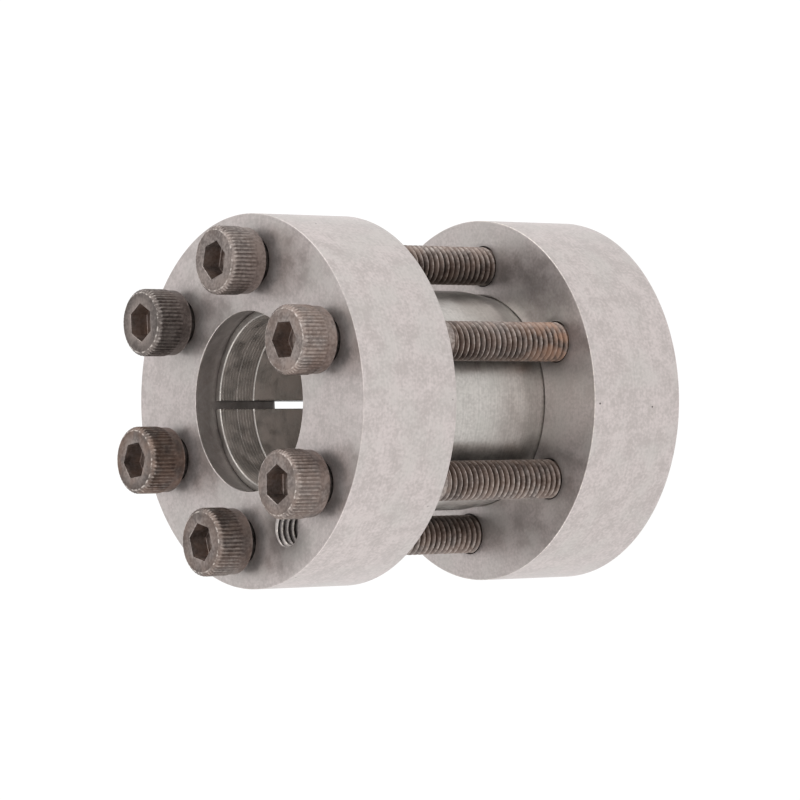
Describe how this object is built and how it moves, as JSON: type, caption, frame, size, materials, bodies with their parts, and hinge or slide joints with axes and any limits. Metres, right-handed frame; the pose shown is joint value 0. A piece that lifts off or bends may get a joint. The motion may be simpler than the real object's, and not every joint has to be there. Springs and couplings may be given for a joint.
{
  "type": "shaft locking assembly",
  "caption": "Keyless rigid shaft coupling: two flanges with tapered bores drawn together by cap screws on a slit double-taper sleeve, which closes on the shafts.",
  "frame": {"origin": "centre of the bore in the rear flange's outer face, on which the assembly stands", "axes": "+Z along the shaft axis towards the screw heads, +X to the right and +Y up as the picture shows it"},
  "size_m": [0.055, 0.055, 0.0676],
  "materials": {
    "flange_steel": "matte turned steel",
    "sleeve_steel": "fine turned steel",
    "screw_steel": "black oxide, worn"
  },
  "bodies": {
    "rear_flange": {"rear_flange": "flange_steel"},
    "front_flange": {"front_flange": "flange_steel"},
    "split_sleeve": {"split_sleeve": "sleeve_steel"},
    "clamp_screw_1": {"clamp_screw_1": "screw_steel"},
    "clamp_screw_2": {"clamp_screw_2": "screw_steel"},
    "clamp_screw_3": {"clamp_screw_3": "screw_steel"},
    "clamp_screw_4": {"clamp_screw_4": "screw_steel"},
    "clamp_screw_5": {"clamp_screw_5": "screw_steel"},
    "clamp_screw_6": {"clamp_screw_6": "screw_steel"}
  },
  "joints": [
    {"name": "front_flange_slide", "type": "slide", "parent": "rear_flange", "child": "front_flange", "axis": [0, 0, 1], "range_m": [0, 0.012]},
    {"name": "sleeve_slide", "type": "slide", "parent": "rear_flange", "child": "split_sleeve", "axis": [0, 0, 1], "range_m": [0, 0.006]},
    {"name": "screw_1_turn", "type": "hinge", "parent": "front_flange", "child": "clamp_screw_1", "pos_m": [0.01878, 0.00836, 0.0602], "axis": [0, 0, 1], "range_deg": [0, 4320]},
    {"name": "screw_2_turn", "type": "hinge", "parent": "front_flange", "child": "clamp_screw_2", "pos_m": [0.00215, 0.02044, 0.0602], "axis": [0, 0, 1], "range_deg": [0, 4320]},
    {"name": "screw_3_turn", "type": "hinge", "parent": "front_flange", "child": "clamp_screw_3", "pos_m": [-0.01663, 0.01208, 0.0602], "axis": [0, 0, 1], "range_deg": [0, 4320]},
    {"name": "screw_4_turn", "type": "hinge", "parent": "front_flange", "child": "clamp_screw_4", "pos_m": [-0.01878, -0.00836, 0.0602], "axis": [0, 0, 1], "range_deg": [0, 4320]},
    {"name": "screw_5_turn", "type": "hinge", "parent": "front_flange", "child": "clamp_screw_5", "pos_m": [-0.00215, -0.02044, 0.0602], "axis": [0, 0, 1], "range_deg": [0, 4320]},
    {"name": "screw_6_turn", "type": "hinge", "parent": "front_flange", "child": "clamp_screw_6", "pos_m": [0.01663, -0.01208, 0.0602], "axis": [0, 0, 1], "range_deg": [0, 4320]}
  ],
  "couplings": [
    {"joint": "sleeve_slide", "follows": "front_flange_slide", "ratio": 0.5},
    {"joint": "screw_1_turn", "follows": "front_flange_slide", "rad_per_m": 6283.2},
    {"joint": "screw_2_turn", "follows": "front_flange_slide", "rad_per_m": 6283.2},
    {"joint": "screw_3_turn", "follows": "front_flange_slide", "rad_per_m": 6283.2},
    {"joint": "screw_4_turn", "follows": "front_flange_slide", "rad_per_m": 6283.2},
    {"joint": "screw_5_turn", "follows": "front_flange_slide", "rad_per_m": 6283.2},
    {"joint": "screw_6_turn", "follows": "front_flange_slide", "rad_per_m": 6283.2}
  ]
}
